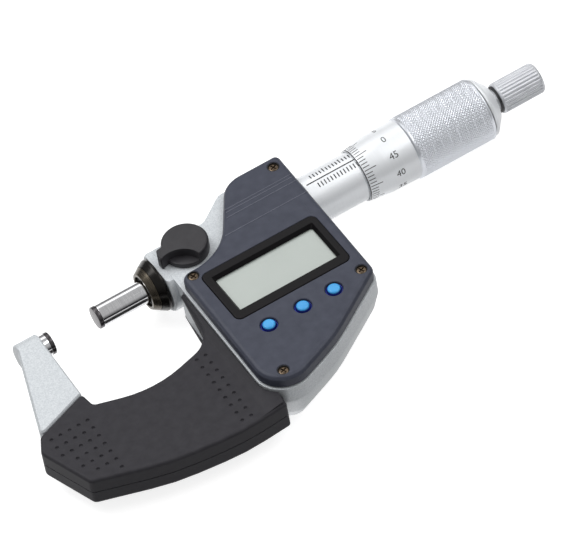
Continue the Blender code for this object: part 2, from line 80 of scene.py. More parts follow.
# Outlines seen from the front, anticlockwise, each corner as x, y, radius. BODY is the frame
# behind the housing, GRIP both covers, ARM the bow's end with the anvil, CORE what the covers hide
HOUSING = ((78.6, 11.7, 1.5), (62.0, 11.7, 8.0), (48.8, -9.3, 16.0), (35.7, -9.3, 3.0),
           (34.5, -61.9, 8.2), (58.0, -52.2, 40.0), (77.9, -38.9, 3.0))
BODY = ((78.9, 12.0, 1.5), (59.8, 12.0, 4.0), (51.5, 5.9, 6.0), (35.4, 5.9, 1.0),
        (34.15, -62.4, 8.5), (58.0, -52.6, 40.0), (78.3, -39.1, 3.3))
GRIP = ((-3.9, -23.9, 0.9), (-20.1, -30.0, 2.0), (-22.8, -35.0, 2.5), (-17.4, -51.5, 2.0),
        (3.0, -58.8, 60.0), (23.0, -61.4, 60.0), (37.2, -60.3, 0.9), (38.6, -50.0, 1.0),
        (38.6, -10.5, 1.0), (34.2, -10.5, 1.0), (31.8, -29.0, 8.0), (12.4, -34.3, 30.0),
        (-3.3, -28.9, 1.5))
ARM = ((-2.8, 0.0, 0.3), (-9.7, 0.0, 0.3), (-19.7, -29.5, 1.0), (-3.8, -23.5, 0.5))
CORE = ((-5.4, -20.0, 0.3), (-16.2, -24.0, 0.3), (-21.1, -35.0, 2.0), (-16.1, -50.4, 1.0),
        (3.2, -57.2, 58.0), (23.0, -59.8, 58.0), (35.7, -58.8, 0.5), (37.5, -50.0, 0.5),
        (43.0, -48.0, 0.5), (43.0, -10.0, 0.5), (35.9, -10.0, 0.5), (33.2, -30.5, 9.0),
        (12.4, -36.0, 32.0), (-4.9, -30.2, 1.0))
LEVER_TAB = ((39.5, 2.6, 0.3), (35.2, 1.9, 0.6), (34.5, 0.2, 0.4), (34.6, -1.4, 0.5),
             (37.0, -3.6, 0.5), (41.0, -3.0, 0.3))
LEVER_AXIS = (43.0, 0.3)
LEVER_R = 6.4
LEVER_TOP = 10.3
SCOOP = (37.5, -7.5, 6.5)
BEZEL = (39.7, -32.7, 75.1, -12.8)
WINDOW = (42.7, -29.0, 72.5, -16.0)
SCREW_SPOTS = ((38.6, -11.6), (75.4, 8.2), (75.0, -37.2), (40.6, -54.2))
BUTTONS = (("origin_button", 45.7), ("zero_button", 56.1), ("hold_button", 65.7))
BUTTON_Y = -38.6
RIDGE_END = 77.6
BATTERY_SPOT = (56.0, -28.0)
# Side view of the bare web between the covers, each corner as y, z
WEB = ((-13.4, -3.7), (-8.0, -3.7), (-8.0, 3.7), (-13.4, 3.7), (-27.0, 0.25), (-27.0, -0.25))


# ---- materials ------------------------------------------------------------------------------

def linear(red, green, blue):
    """A colour picked on a 0 to 255 screen scale, as the shader wants it."""
    def one(value):
        value /= 255.0
        return value / 12.92 if value <= 0.04045 else ((value + 0.055) / 1.055) ** 2.4
    return (one(red), one(green), one(blue), 1.0)


def finish(name, dark, light, scale, roughness, metallic=0.0, bump=0.0, bump_scale=None,
           stretch=(1.0, 1.0, 1.0), rough_spread=0.06, coat=0.0, contrast=0.5, shine=0.5):
    """A Principled material whose colour, roughness and height vary with noise in object space."""
    made = bpy.data.materials.new(name)
    made.use_nodes = True
    tree = made.node_tree
    link = tree.links.new
    shader = tree.nodes["Principled BSDF"]
    shader.inputs["Metallic"].default_value = metallic
    shader.inputs["Specular IOR Level"].default_value = shine
    shader.inputs["Coat Weight"].default_value = coat
    shader.inputs["Coat Roughness"].default_value = 0.08
    coordinates = tree.nodes.new("ShaderNodeTexCoord")
    stretched = tree.nodes.new("ShaderNodeMapping")
    stretched.inputs["Scale"].default_value = stretch
    link(coordinates.outputs["Object"], stretched.inputs["Vector"])
    noise = tree.nodes.new("ShaderNodeTexNoise")
    noise.inputs["Scale"].default_value = scale
    noise.inputs["Detail"].default_value = 4.0
    link(stretched.outputs["Vector"], noise.inputs["Vector"])
    ramp = tree.nodes.new("ShaderNodeValToRGB")
    ramp.color_ramp.elements[0].position = 0.5 - contrast / 2
    ramp.color_ramp.elements[1].position = 0.5 + contrast / 2
    ramp.color_ramp.elements[0].color = dark
    ramp.color_ramp.elements[1].color = light
    link(noise.outputs["Fac"], ramp.inputs["Fac"])
    link(ramp.outputs["Color"], shader.inputs["Base Color"])
    spread = tree.nodes.new("ShaderNodeMapRange")
    spread.inputs["To Min"].default_value = roughness - rough_spread
    spread.inputs["To Max"].default_value = roughness + rough_spread
    link(noise.outputs["Fac"], spread.inputs["Value"])
    link(spread.outputs["Result"], shader.inputs["Roughness"])
    if bump:
        grain = tree.nodes.new("ShaderNodeTexNoise")
        grain.inputs["Scale"].default_value = bump_scale or scale
        grain.inputs["Detail"].default_value = 3.0
        link(stretched.outputs["Vector"], grain.inputs["Vector"])
        lift = tree.nodes.new("ShaderNodeBump")
        lift.inputs["Strength"].default_value = 1.0
        lift.inputs["Distance"].default_value = bump * MM
        link(grain.outputs["Fac"], lift.inputs["Height"])
        link(lift.outputs["Normal"], shader.inputs["Normal"])
    return made


LATHE_LINES = (90.0, 4.0, 4.0)     # stretches noise into fine rings round the X axis
MATERIALS = {
    "painted_cast": finish("speckled_paint", linear(184, 189, 193), linear(208, 212, 215), 2600,
                           0.42, 0.15, bump=0.012, bump_scale=1700, contrast=0.35),
    "ground_steel": finish("ground_steel", linear(205, 205, 207), linear(232, 232, 234), 60,
                           0.11, 1.0, bump=0.0006, bump_scale=60, stretch=LATHE_LINES,
                           rough_spread=0.03),
    "carbide": finish("carbide", linear(70, 68, 70), linear(98, 95, 97), 900, 0.24, 0.9,
                      bump=0.001, bump_scale=2500),
    "satin_chrome": finish("satin_chrome", linear(228, 231, 234), linear(238, 240, 243), 55,
                           0.4, 0.3, stretch=LATHE_LINES, rough_spread=0.02, contrast=0.9),
    "knurl": finish("knurled_chrome", linear(202, 205, 211), linear(208, 211, 217), 300, 0.32,
                    0.7, rough_spread=0.03),
    "knob": finish("fluted_chrome", linear(196, 198, 203), linear(206, 208, 212), 300, 0.36,
                   0.35, rough_spread=0.03),
    # The nut's own blackened steel, painted lighter and browner as a painted highlight on its front
    # cone
    "lit_black_steel": finish("black_steel_painted_highlight", linear(60, 55, 48), linear(96, 89, 78), 150, 0.27, 0.9,
                     stretch=LATHE_LINES),
    "grip_plastic": finish("grip_plastic", linear(48, 47, 51), linear(56, 55, 59), 420, 0.5, 0.0,
                           bump=0.006, bump_scale=2600, shine=0.12),
    "black_steel": finish("black_steel", linear(22, 21, 20), linear(40, 38, 36), 120, 0.22, 0.75,
                          bump=0.0008, bump_scale=90, stretch=LATHE_LINES, rough_spread=0.05),
    "housing_plastic": finish("housing_plastic", linear(57, 60, 72), linear(67, 70, 82), 380,
                              0.46, 0.0, bump=0.005, bump_scale=2800, shine=0.22),
    "bezel_plastic": finish("bezel_plastic", linear(12, 11, 13), linear(18, 16, 18), 300, 0.42,
                            0.0, bump=0.003, bump_scale=2400, shine=0.15),
    "lens": finish("display_glass", linear(163, 170, 165), linear(169, 176, 171), 60, 0.22, 0.0,
                   coat=0.6, rough_spread=0.02),
    # Near white: a painted highlight along the window's lower edge, not the panel's own colour
    "lcd": finish("display_edge_highlight", linear(222, 226, 222), linear(240, 242, 238), 300, 0.35, 0.0),
    # Real rubber of the wiper seal; also painted shade in the gaps round the housing screws
    "rubber": finish("rubber", linear(20, 20, 20), linear(34, 33, 33), 500, 0.75, 0.0,
                     bump=0.01, bump_scale=1500),
    # Real navy rubber of the button membrane; also painted shade on the sides of the blue button
    # caps
    "navy_rubber": finish("navy_rubber", linear(12, 28, 116), linear(20, 42, 144), 420, 0.5, 0.0,
                          bump=0.004, bump_scale=1800),
    "blue_plastic": finish("blue_plastic", linear(50, 148, 212), linear(64, 162, 224), 320, 0.3,
                           0.0, bump=0.003, bump_scale=1500),
    "board": finish("solder_mask", linear(8, 76, 40), linear(14, 96, 52), 500, 0.4, 0.0,
                    bump=0.004, bump_scale=900),
    "brass": finish("brass", linear(196, 158, 88), linear(222, 186, 112), 160, 0.3, 1.0,
                    bump=0.0015, bump_scale=400),
    "lever_plastic": finish("lever_plastic", linear(42, 41, 44), linear(52, 51, 54), 360, 0.38,
                            0.0, bump=0.004, bump_scale=2600, shine=0.3),
    "screw_steel": finish("screw_steel", linear(52, 46, 41), linear(112, 96, 78), 700, 0.3, 0.9,
                          bump=0.002, bump_scale=1500),
    "glass_epoxy": finish("glass_epoxy", linear(168, 150, 84), linear(196, 178, 108), 800, 0.45,
                          0.0, bump=0.004, bump_scale=1500),
    # Black print of the scales; also painted shade at the thimble's edge and in the gaps by the
    # thimble and ratchet
    "ink_and_painted_shade": finish("engraved_ink_and_painted_shade", linear(14, 14, 17), linear(34, 34, 38), 900, 0.5, 0.0),
    # The housing's own plastic, painted lighter for the ridges as a painted highlight
    "ridge_highlight": finish("ridge_painted_highlight", linear(74, 77, 90), linear(84, 87, 100), 380, 0.4, 0.0),
}


# ---- outlines and solids --------------------------------------------------------------------

def inset(corners, distance):
    """The outline with every side moved inwards, or outwards where distance is negative."""
    count = len(corners)
    sides = []
    for i, corner in enumerate(corners):
        start = Vector(corner[:2])
        along = (Vector(corners[(i + 1) % count][:2]) - start).normalized()
        sides.append((start + Vector((-along.y, along.x)) * distance, along))
    moved = []
    for i, corner in enumerate(corners):
        (p, d), (q, e) = sides[i - 1], sides[i]
        turn = d.x * e.y - d.y * e.x
        spot = p + d * (((q.x - p.x) * e.y - (q.y - p.y) * e.x) / turn)
        radius = corner[2] - math.copysign(distance, turn) if corner[2] else 0.0
        moved.append((spot.x, spot.y, max(radius, 0.05) if corner[2] else 0.0))
    return tuple(moved)


def arc(before, here, after, radius, step):
    """Points that round one corner of a line."""
    arrive = (here - before).normalized()
    leave = (after - here).normalized()
    turn = math.atan2(arrive.x * leave.y - arrive.y * leave.x, arrive.dot(leave))
    start = here - arrive * radius * math.tan(abs(turn) / 2)
    side = Vector((-arrive.y, arrive.x)) * math.copysign(radius, turn)
    centre = start + side
    pieces = max(1, math.ceil(math.degrees(abs(turn)) / step - 0.05))
    points = []
    for k in range(pieces + 1):
        cos, sin = math.cos(turn * k / pieces), math.sin(turn * k / pieces)
        points.append(centre + Vector((-side.x * cos + side.y * sin,
                                       -side.x * sin - side.y * cos)))
    return points


def rounded(corners, step=STEP, closed=True):
    """Points of an outline whose corners, each x, y or x, y, radius, are arcs."""
    points = []
    for i, corner in enumerate(corners):
        here = Vector(corner[:2])
        radius = corner[2] if len(corner) > 2 else 0.0
        end = not closed and i in (0, len(corners) - 1)
        if end or not radius:
            points.append(here)
            continue
        after = Vector(corners[(i + 1) % len(corners)][:2])
        points += arc(Vector(corners[i - 1][:2]), here, after, radius, step)
    return points


def rectangle(box, radius=0.0):
    low_x, low_y, high_x, high_y = box
    return ((high_x, high_y, radius), (low_x, high_y, radius),
            (low_x, low_y, radius), (high_x, low_y, radius))


def disc(x, y, radius, sides):
    return [Vector((x + radius * math.cos(math.tau * k / sides),
                    y + radius * math.sin(math.tau * k / sides))) for k in range(sides)]


def add(name, bm, slot=None):
    bmesh.ops.remove_doubles(bm, verts=bm.verts, dist=1e-8)
    bmesh.ops.recalc_face_normals(bm, faces=bm.faces)
    mesh = bpy.data.meshes.new(name)
    bm.to_mesh(mesh)
    bm.free()
    made = bpy.data.objects.new(name, mesh)
    bpy.context.scene.collection.objects.link(made)
    if slot:
        mesh.materials.append(MATERIALS[slot])
        mesh.shade_smooth()
        mesh.set_sharp_from_angle(angle=SHARP_ANGLE)
    return made


def loft(name, levels, slot=None):
    """A solid through outlines with equal counts of points, each as (z, points), going up."""
    bm = bmesh.new()
    loops = [[bm.verts.new((p.x * MM, p.y * MM, z * MM)) for p in points]
             for z, points in levels]
    bm.faces.new(loops[0][::-1])
    bm.faces.new(loops[-1])
    for low, high in zip(loops, loops[1:]):
        for i in range(len(low)):
            bm.faces.new((low[i - 1], low[i], high[i], high[i - 1]))
    return add(name, bm, slot)


def slab(name, corners, edge, slot=None):
    """A loft whose side follows edge: points of inset, z and radius, from the bottom up."""
    side = rounded(edge, EDGE_STEP, closed=False)
    return loft(name, [(p.y, rounded(inset(corners, p.x))) for p in side], slot)


def lathe(name, corners, slot=None, sides=FINE, axis="X", centre=(0.0, 0.0), shape=None):
    """Corners of (along, radius, rounding) spun about the X axis, or about Z through centre.

    shape may change a radius by its place along the axis and its angle.
    """
    profile = rounded(corners, LATHE_STEP)
    bm = bmesh.new()
    columns = []
    for along, radius in profile:
        if radius < 1e-6:
            columns.append([bm.verts.new((along * MM, 0.0, 0.0))] * sides)
            continue
        column = []
        for k in range(sides):
            angle = math.tau * k / sides
            reach = shape(along, radius, angle) if shape else radius
            column.append(bm.verts.new((along * MM, reach * math.cos(angle) * MM,
                                        reach * math.sin(angle) * MM)))
        columns.append(column)
    for low, high in zip(columns, columns[1:] + columns[:1]):
        for k in range(sides):
            ring = []
            for vert in (low[k - 1], low[k], high[k], high[k - 1]):
                if vert not in ring:
                    ring.append(vert)
            if len(ring) > 2:
                bm.faces.new(ring)
    if axis == "Z":
        for vert in bm.verts:
            vert.co = (-vert.co.z + centre[0] * MM, vert.co.y + centre[1] * MM, vert.co.x)
    return add(name, bm, slot)


def stud(name, x, y, low, high, radius, sides):
    return loft(name, ((low, disc(x, y, radius, sides)), (high, disc(x, y, radius, sides))))


def block(name, low, high):
    outline = rounded(rectangle((low[0], low[1], high[0], high[1])))
    return loft(name, ((low[2], outline), (high[2], outline)))


def combine(target, operation, *tools):
    """Adds, cuts or keeps the common part with each tool, then applies it and drops the tools."""
    for tool in tools:
        change = target.modifiers.new(tool.name, "BOOLEAN")
        change.operation = operation
        change.object = tool
        change.solver = "EXACT"
    shape = bpy.data.meshes.new_from_object(
        target.evaluated_get(bpy.context.evaluated_depsgraph_get()))
    target.modifiers.clear()
    target.data = shape
    for tool in tools:
        bpy.data.objects.remove(tool, do_unlink=True)
    if shape.materials:
        shape.shade_smooth()
        shape.set_sharp_from_angle(angle=SHARP_ANGLE)
    return target


def cut(target, *tools):
    return combine(target, "DIFFERENCE", *tools)


def join(target, *tools):
    return combine(target, "UNION", *tools)


def merged(name, pieces, slot=None):
    """One mesh object out of several that don't touch each other."""
    bm = bmesh.new()
    for piece in pieces:
        bm.from_mesh(piece.data)
        bpy.data.objects.remove(piece, do_unlink=True)
    return add(name, bm, slot)


def place(piece, body, slot, *nodes):
    """Rides the piece on its CAD body and hides the nodes it stands for; slot is not used."""
    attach(piece, body)
    if nodes:
        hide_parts(*nodes)


# ---- camera, light and stage ----------------------------------------------------------------

RIGHT = Vector((0.8468, -0.5149, -0.1333))
BACK = Vector((-0.2592, -0.6183, 0.7420))
TARGET = Vector((59.6, -19.0, 0.0)) * MM
DISTANCE = 2.2
PIXELS_PER_MM = 3.80
FRAME_WIDTH = 561


def camera():
    data = bpy.data.cameras.new("camera")
    made = bpy.data.objects.new("camera", data)
    bpy.context.scene.collection.objects.link(made)
    back = BACK.normalized()
    right = (RIGHT - back * RIGHT.dot(back)).normalized()
    data.sensor_width = 36.0
    data.lens = PIXELS_PER_MM * DISTANCE / MM * data.sensor_width / FRAME_WIDTH
    data.clip_start = 0.05
    turn = Matrix((right, back.cross(right), back)).transposed().to_4x4()
    made.matrix_world = Matrix.Translation(TARGET + back * DISTANCE) @ turn
    bpy.context.scene.camera = made


def area_light(name, spot, size, power):
    data = bpy.data.lights.new(name, "AREA")
    data.shape = "RECTANGLE"
    data.size, data.size_y = size
    data.energy = power
    made = bpy.data.objects.new(name, data)
    made.location = spot
    aim = TARGET - Vector(spot)
    made.rotation_euler = aim.to_track_quat("-Z", "Y").to_euler()
    bpy.context.scene.collection.objects.link(made)


def stage():
    scene = bpy.context.scene
    scene.view_settings.view_transform = "Standard"
    world = bpy.data.worlds.new("studio")
    scene.world = world
    world.use_nodes = True
    tree = world.node_tree
    coordinates = tree.nodes.new("ShaderNodeTexCoord")
    split = tree.nodes.new("ShaderNodeSeparateXYZ")
    ramp = tree.nodes.new("ShaderNodeValToRGB")
    tree.links.new(coordinates.outputs["Generated"], split.inputs["Vector"])
    tree.links.new(split.outputs["Z"], ramp.inputs["Fac"])
    ramp.color_ramp.elements[0].position = 0.0
    ramp.color_ramp.elements[0].color = (0.03, 0.03, 0.035, 1.0)
    ramp.color_ramp.elements[1].position = 0.55
    ramp.color_ramp.elements[1].color = (1.0, 1.0, 1.0, 1.0)
    tree.links.new(ramp.outputs["Color"], tree.nodes["Background"].inputs["Color"])
    tree.nodes["Background"].inputs["Strength"].default_value = 0.55
    area_light("key", (-0.25, 0.35, 0.75), (0.5, 0.5), 3.7)
    area_light("fill", (0.45, -0.15, 0.7), (0.6, 0.4), 2.0)
    area_light("under", (0.05, 0.0, -0.7), (0.3, 0.3), 1.6)
    area_light("back", (0.25, 0.55, 0.65), (0.9, 0.35), 1.1)
    bm = bmesh.new()
    bmesh.ops.create_grid(bm, x_segments=1, y_segments=1, size=4.0)
    floor = add("floor", bm)
    floor.location = (0.06, -0.02, BACK_Z * MM - 0.0002)
    paint = bpy.data.materials.new("floor_paint")
    paint.use_nodes = True
    shader = paint.node_tree.nodes["Principled BSDF"]
    shader.inputs["Base Color"].default_value = (0.5, 0.5, 0.5, 1.0)
    shader.inputs["Roughness"].default_value = 0.9
    shader.inputs["Emission Color"].default_value = (1.0, 1.0, 1.0, 1.0)
    shader.inputs["Emission Strength"].default_value = 0.8
    # The floor is clear from underneath, so the back of the tool can be looked at
    link = paint.node_tree.links.new
    side = paint.node_tree.nodes.new("ShaderNodeNewGeometry")
    clear = paint.node_tree.nodes.new("ShaderNodeBsdfTransparent")
    either = paint.node_tree.nodes.new("ShaderNodeMixShader")
    link(side.outputs["Backfacing"], either.inputs["Fac"])
    link(shader.outputs["BSDF"], either.inputs[1])
    link(clear.outputs["BSDF"], either.inputs[2])
    link(either.outputs["Shader"], paint.node_tree.nodes["Material Output"].inputs["Surface"])
    floor.data.materials.append(paint)
    floor.visible_diffuse = False
    floor.visible_shadow = False
    # A dark card under the throat, which only reflections see
    flag = block("flag", (-8.0, -32.0, BACK_Z - 0.1), (32.0, -8.5, BACK_Z - 0.05))
    flag.data.materials.append(MATERIALS["rubber"])
    flag.visible_camera = False
    flag.visible_diffuse = False
    flag.visible_shadow = False


# ---- frame ----------------------------------------------------------------------------------

def frame_piece():
    body = slab("frame_shell", BODY, ((4.9, BACK_Z), (4.4, BACK_Z, 0.3), (1.9, -5.5, 2.0),
                                      (0.0, 0.8, 2.0), (0.0, FRAME_TOP, 0.15),
                                      (0.2, FRAME_TOP)), "painted_cast")
    barrel = lathe("barrel", ((33.3, 0.0), (33.3, 8.5, 0.9), (78.9, 8.5, 0.3), (78.9, 0.0)))
    cut(barrel, block("lever_flat", (30.0, -12.0, 5.9), (62.5, 12.0, 12.0)),
        block("housing_flat", (50.0, -12.0, 7.9), (82.0, 12.0, 12.0)))
    core = slab("core", CORE, ((0.0, -2.6), (0.0, 2.6)))
    arm = slab("arm", ARM, ((0.5, -4.0), (0.0, -3.5, 0.5), (0.0, 3.5, 0.5), (0.5, 4.0)))
    boss = lathe("boss", ((-9.7, 0.0), (-9.7, 4.0, 0.6), (-2.8, 4.0, 0.4), (-2.8, 0.0)))
    web = slab("web", GRIP, ((0.15, -5.0), (0.15, 5.0)))
    combine(web, "INTERSECT", web_bar(0.0))
    join(body, barrel, core, arm, boss, web)
    x, y = BATTERY_SPOT
    cut(body, stud("cap_seat", x, y, -20.0, -8.2, 8.3, FINE),
        lathe("anvil_bore", ((-8.6, 0.0), (-8.6, 3.25), (0.0, 3.25), (0.0, 0.0))),
        lathe("spindle_bore", ((20.0, 0.0), (20.0, 3.4), (70.0, 3.4), (70.0, 0.0))))
    place(body, "frame", "painted_cast", "frame")


def web_bar(margin):
    outline = [Vector(c[:2]) for c in inset([(y, z, 0.0) for y, z in WEB], -margin)]
    bar = loft("web_bar", ((28.0, outline), (40.0, outline)))
    bar.data.transform(Matrix(((0, 0, 1, 0), (1, 0, 0, 0), (0, 1, 0, 0), (0, 0, 0, 1))))
    return bar


# Two fields of dimples, as columns that lean a little: one fills the far end of the bow row by row,
# the other is two columns beside the housing
DIMPLE_R = 0.55
DIMPLE_TOP = -32.9
DIMPLE_LEAN = 0.14
FAR_ROWS = (5, 5, 5, 4, 4, 3, 1)
DIMPLES = [(-7.3 - DIMPLE_LEAN * row - 2.75 * column, DIMPLE_TOP - 3.2 * row)
           for row, count in enumerate(FAR_ROWS) for column in range(count)]
DIMPLES += [(x - DIMPLE_LEAN * row, DIMPLE_TOP - 3.13 * row) for x in (26.1, 28.8)
            for row in range(9)]


def cover(name, node, side):
    """A moulded grip shell, from the parting line at mid thickness to its rounded face."""
    edge = ((0.0, 0.12), (0.0, COVER_TOP - 1.0, 0.0), (0.0, COVER_TOP, 0.9), (1.4, COVER_TOP))
    if side < 0:
        edge = tuple((p[0], -p[1]) + tuple(p[2:]) for p in reversed(edge))
    made = slab(name, GRIP, edge, "grip_plastic")
    if side > 0:
        ramp = slab("cove", BODY, ((-5.2, 4.2), (-5.2, COVER_TOP, 0.0), (-2.6, COVER_TOP + 0.1, 3.0),
                                   (-0.5, COVER_TOP + 1.1, 0.6), (-0.3, COVER_TOP + 1.1)))
        combine(ramp, "INTERSECT", slab("cove_limit", inset(GRIP, 0.7), ((0.0, 2.0), (0.0, 9.0))))
        join(made, ramp)
    dimples = [lathe(f"dimple_{i}", ((COVER_TOP - 0.5, 0.0), (COVER_TOP - 0.4, 0.3),
                                     (COVER_TOP, DIMPLE_R), (COVER_TOP + 0.5, DIMPLE_R + 0.1),
                                     (COVER_TOP + 0.5, 0.0)), sides=16, axis="Z", centre=spot)
               for i, spot in enumerate(DIMPLES)]
    pits = merged("dimples", dimples)
    if side < 0:
        pits.data.transform(Matrix.Diagonal((1.0, 1.0, -1.0, 1.0)))
        pits.data.flip_normals()
    inside = slab("bow_room", inset(CORE, -0.15), ((0.0, -2.8), (0.0, 2.8)))
    body = slab("body_room", inset(BODY, -0.2), ((0.0, -12.0), (0.0, 12.0)))
    cut(made, inside, body, web_bar(0.15), pits)
    place(made, "frame", "grip_plastic", node)


# ---- measuring line -------------------------------------------------------------------------

def anvil():
    steel = lathe("anvil_body", ((-8.5, 0.0), (-8.5, 3.175), (-1.2, 3.175, 0.08), (-1.2, 0.0)),
                  "ground_steel")
    place(steel, "frame", "ground_steel", "anvil")
    tip = lathe("anvil_face", ((-1.1, 0.0), (-1.1, 3.175, 0.08), (0.0, 3.175, 0.2), (0.0, 0.0)),
                "carbide")
    place(tip, "frame", "carbide", "anvil_tip")


def nose():
    nut = lathe("seal_nut_body", ((30.4, 6.5), (32.1, 7.5, 0.5), (32.9, 7.5, 0.15), (32.9, 3.5),
                                  (31.4, 3.5), (31.4, 4.5), (30.4, 4.5)), "black_steel")
    place(nut, "frame", "black_steel", "seal_nut")
    # Front cone of the same blackened nut, painted lighter as a painted highlight
    band = lathe("seal_nut_front", ((28.5, 4.45, 0.1), (28.5, 5.25, 0.2), (30.36, 6.45, 0.1),
                                    (30.36, 4.45)), "lit_black_steel")
    place(band, "frame", "black_steel")
    seal = lathe("wiper_seal", ((29.4, 3.3), (29.2, 4.35, 0.2), (30.6, 4.4), (30.6, 3.3)),
                 "rubber")
    place(seal, "frame", "rubber", "spindle_seal")


def spindle():
    start = READING + FACE_GAP
    rod = lathe("spindle_rod", ((start + 1.2, 0.0), (start + 1.2, 3.175, 0.06), (88.5, 3.175),
                                (89.0, 3.7), (124.6, 3.7), (124.6, 2.3), (126.8, 2.3),
                                (126.8, 0.0)), "ground_steel")
    place(rod, "spindle", "ground_steel", "spindle")
    tip = lathe("spindle_face", ((start, 0.0), (start, 3.175, 0.25), (start + 1.12, 3.175, 0.08),
                                 (start + 1.12, 0.0)), "carbide")
    place(tip, "spindle", "carbide", "spindle_tip")


def patch(bm, start, end, low_angle, high_angle, radius_at, parts=3):
    """A thin curved mark on a round surface, between two places along X and two angles."""
    rows = []
    for k in range(parts + 1):
        angle = math.radians(low_angle + (high_angle - low_angle) * k / parts)
        row = []
        for x, depth in ((start, MARK_LIFT), (end, MARK_LIFT),
                         (end, -MARK_LIFT), (start, -MARK_LIFT)):
            reach = radius_at(x) + depth
            row.append(bm.verts.new((x * MM, reach * math.cos(angle) * MM,
                                     reach * math.sin(angle) * MM)))
        rows.append(row)
    bm.faces.new(rows[0])
    bm.faces.new(rows[-1][::-1])
    for low, high in zip(rows, rows[1:]):
        for i in range(4):
            bm.faces.new((low[i - 1], high[i - 1], high[i], low[i]))


def numeral(bm, text, x, angle, size, radius_at):
    """A number wrapped on a round surface, reading along X with its top towards +Y."""
    font = bpy.data.curves.new("numeral", "FONT")
    font.body = text
    font.size = size
    font.align_x = "CENTER"
    font.align_y = "CENTER"
    font.resolution_u = 3
    font.extrude = MARK_LIFT
    holder = bpy.data.objects.new("numeral", font)
    bpy.context.scene.collection.objects.link(holder)
    mesh = bpy.data.meshes.new_from_object(
        holder.evaluated_get(bpy.context.evaluated_depsgraph_get()))
    for vert in mesh.vertices:
        along = x + vert.co.x
        reach = radius_at(along)
        turn = math.radians(angle) - vert.co.y / reach
        reach += vert.co.z
        vert.co = (along * MM, reach * math.cos(turn) * MM, reach * math.sin(turn) * MM)
    bm.from_mesh(mesh)
    bpy.data.objects.remove(holder, do_unlink=True)


def sleeve_radius(_):
    return SLEEVE_R


def sleeve():
    barrel = lathe("sleeve_body", ((79.1, 5.75), (79.1, SLEEVE_R, 0.1), (108.6, SLEEVE_R, 0.1),
                                   (108.6, 5.75)), "satin_chrome")
    place(barrel, "frame", "satin_chrome", "graduated_sleeve")
    zero = THIMBLE_START - READING
    bm = bmesh.new()
    patch(bm, 80.0, 107.6, INDEX_ANGLE - 1.5, INDEX_ANGLE + 1.5, sleeve_radius)
    for k in range(1, SLEEVE_MARKS + 1):
        far = 26.5 if k % 5 == 0 else 23.0
        patch(bm, zero + k - 0.16, zero + k + 0.16, INDEX_ANGLE - far, INDEX_ANGLE - 11.0,
              sleeve_radius)
        patch(bm, zero + k + 0.34, zero + k + 0.66, INDEX_ANGLE + 7.5, INDEX_ANGLE + 19.5,
              sleeve_radius)
    marks = add("sleeve_scale", bm, "ink_and_painted_shade")
    place(marks, "frame", "satin_chrome")


CONE_END = THIMBLE_START + 6.65
KNURL_START = 110.5
KNURL_END = 133.6
KNURL_R = 9.0
KNURL_LINES = 64          # lines of the knurl each way round
KNURL_LEAD = 3.6          # how fast they turn along X
KNURL_DEPTH = 0.22
THIMBLE_MARKS = 50


def thimble_radius(x):
    """Radius of the thimble's scale end at a place along X, in the rest position."""
    if x < CONE_END:
        return 7.5 + (8.45 - 7.5) * (x - THIMBLE_START) / (CONE_END - THIMBLE_START)
    return 8.45 + (8.6 - 8.45) * (x - CONE_END) / (KNURL_START - 0.4 - CONE_END)


def diamonds(along, radius, angle):
    """Height of the crossed knurl, fading out at both ends."""
    first = abs(math.sin((angle * KNURL_LINES + along * KNURL_LEAD * 2.0) / 2.0))
    second = abs(math.sin((angle * KNURL_LINES - along * KNURL_LEAD * 2.0) / 2.0))
    depth = KNURL_DEPTH * (1.0 - min(first, second) ** 0.8)
    ends = min(along - KNURL_START - 0.45, KNURL_END - 0.45 - along)
    return radius - depth * min(max(ends / 0.5, 0.0), 1.0)


def thimble():
    start = THIMBLE_START
    scale = lathe("thimble_body", ((start, 7.2), (start, 7.5, 0.1), (CONE_END, 8.45, 3.0),
                                   (KNURL_START - 0.3, 8.6), (KNURL_START - 0.3, 7.2)),
                  "satin_chrome")
    place(scale, "spindle", "satin_chrome", "thimble")
    rows = 150
    inner, outer = KNURL_START, KNURL_END
    profile = [(inner, 7.2), (inner - 0.3, 8.6), (inner, KNURL_R - 0.04)]
    profile += [(inner + (outer - inner) * k / rows, KNURL_R) for k in range(1, rows)]
    profile += [(outer, KNURL_R - 0.12), (outer, 7.2)]
    knurl = lathe("thimble_knurl", profile, "knurl", sides=444, shape=diamonds)
    place(knurl, "spindle", "satin_chrome")
    bm = bmesh.new()
    for k in range(THIMBLE_MARKS):
        angle = INDEX_ANGLE - 7.2 * k
        length = 3.9 if k % 5 == 0 else 2.4
        patch(bm, start + 0.45, start + length, angle - 0.8, angle + 0.8, thimble_radius,
              parts=1)
        if k % 5 == 0:
            numeral(bm, str(k), start + 9.4, angle, 2.7, thimble_radius)
    marks = add("thimble_scale", bm, "ink_and_painted_shade")
    place(marks, "spindle", "satin_chrome")
    # A dark ring round the thimble's leading edge, painted shade at the step onto the sleeve
    bm = bmesh.new()
    patch(bm, start - 0.015, start + 0.25, 0.0, 360.0, thimble_radius, parts=FINE)
    edge = add("thimble_edge_shade", bm, "ink_and_painted_shade")
    place(edge, "spindle", "satin_chrome")
    # A black ring in the gap between knurl and end cap, painted shade in the groove
    groove_shade = lathe("thimble_groove_shade", ((133.62, 7.0), (133.62, 8.72), (133.74, 8.72),
                                      (133.74, 7.0)), "ink_and_painted_shade")
    place(groove_shade, "spindle", "satin_chrome")
    cap = lathe("thimble_end", ((130.0, 3.5), (130.0, 6.8), (133.75, 6.8), (133.75, 8.3, 0.1),
                                (134.1, 8.62, 0.2), (134.9, 8.35, 0.5), (137.5, 5.3, 0.4),
                                (137.6, 3.5)), "satin_chrome")
    place(cap, "spindle", "satin_chrome", "thimble_cap")


FLUTES = 26
FLUTE_DEPTH = 0.3


def flutes(along, radius, angle):
    """Straight flutes along the knob, left out at its rims."""
    if radius < 4.3 or not 139.9 < along < 151.4:
        return radius
    return radius - FLUTE_DEPTH * (1.0 - abs(math.sin(angle * FLUTES / 2)) ** 0.5)


